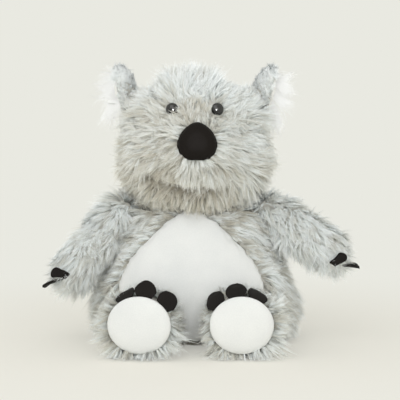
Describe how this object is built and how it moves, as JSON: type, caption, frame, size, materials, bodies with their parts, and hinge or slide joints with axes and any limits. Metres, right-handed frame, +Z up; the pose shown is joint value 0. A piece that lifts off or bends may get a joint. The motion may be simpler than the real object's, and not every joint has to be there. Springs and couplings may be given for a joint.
{
  "type": "heatable plush toy",
  "caption": "Seated soft koala toy in long-pile plush with a smooth belly, felt claws and toes, and a warmable grain pouch inside.",
  "frame": {"origin": "on the flat of the seat, under the torso's middle", "axes": "+Z up, -Y the way the face looks, +X to the right as seen from the front"},
  "size_m": [0.2652, 0.1741, 0.2328],
  "materials": {
    "grey_plush": "matte",
    "white_plush": "matte",
    "black_felt": "matte",
    "black_satin": "satin",
    "eye_plastic": "gloss",
    "washer_plastic": "matte",
    "fibre_fill": "matte",
    "pouch_cotton": "matte",
    "grain": "matte"
  },
  "bodies": {
    "torso": {"body_cover": "grey_plush", "belly_panel": "white_plush", "body_stuffing": "fibre_fill", "pouch_front_panel": "pouch_cotton", "pouch_back_panel": "pouch_cotton", "grain_filling": "grain"},
    "head": {"head_cover": "grey_plush", "head_stuffing": "fibre_fill", "nose": "black_satin", "left_eye": "eye_plastic", "right_eye": "eye_plastic", "left_eye_washer": "washer_plastic", "right_eye_washer": "washer_plastic"},
    "left_ear": {"left_ear_back": "grey_plush", "left_ear_lining": "white_plush"},
    "right_ear": {"right_ear_back": "grey_plush", "right_ear_lining": "white_plush"},
    "left_arm": {"left_arm_cover": "grey_plush", "left_arm_stuffing": "fibre_fill", "left_paw_claw_1": "black_felt", "left_paw_claw_2": "black_felt", "left_paw_claw_3": "black_felt"},
    "right_arm": {"right_arm_cover": "grey_plush", "right_arm_stuffing": "fibre_fill", "right_paw_claw_1": "black_felt", "right_paw_claw_2": "black_felt", "right_paw_claw_3": "black_felt"},
    "left_leg": {"left_leg_cover": "grey_plush", "left_sole_pad": "white_plush", "left_leg_stuffing": "fibre_fill", "left_foot_toe_1": "black_felt", "left_foot_toe_2": "black_felt", "left_foot_toe_3": "black_felt"},
    "right_leg": {"right_leg_cover": "grey_plush", "right_sole_pad": "white_plush", "right_leg_stuffing": "fibre_fill", "right_foot_toe_1": "black_felt", "right_foot_toe_2": "black_felt", "right_foot_toe_3": "black_felt"}
  },
  "joints": [
    {"name": "head_turn", "type": "hinge", "parent": "torso", "child": "head", "pos_m": [0, 0, 0.117], "axis": [0, 0, 1], "range_deg": [-25, 25], "stiffness_Nm_per_rad": 0.25},
    {"name": "left_ear_fold", "type": "hinge", "parent": "head", "child": "left_ear", "pos_m": [-0.062, 0, 0.194], "axis": [0, -1, 0], "range_deg": [0, 20], "stiffness_Nm_per_rad": 0.03},
    {"name": "right_ear_fold", "type": "hinge", "parent": "head", "child": "right_ear", "pos_m": [0.062, 0, 0.194], "axis": [0, 1, 0], "range_deg": [0, 20], "stiffness_Nm_per_rad": 0.03},
    {"name": "left_arm_raise", "type": "hinge", "parent": "torso", "child": "left_arm", "pos_m": [-0.059, -0.006, 0.121], "axis": [0, 1, 0], "range_deg": [0, 40]},
    {"name": "right_arm_raise", "type": "hinge", "parent": "torso", "child": "right_arm", "pos_m": [0.059, -0.006, 0.121], "axis": [0, -1, 0], "range_deg": [0, 40]},
    {"name": "left_leg_lift", "type": "hinge", "parent": "torso", "child": "left_leg", "pos_m": [-0.038, -0.063, 0.058], "axis": [-1, 0, 0], "range_deg": [0, 45]},
    {"name": "right_leg_lift", "type": "hinge", "parent": "torso", "child": "right_leg", "pos_m": [0.038, -0.063, 0.058], "axis": [-1, 0, 0], "range_deg": [0, 45]}
  ]
}
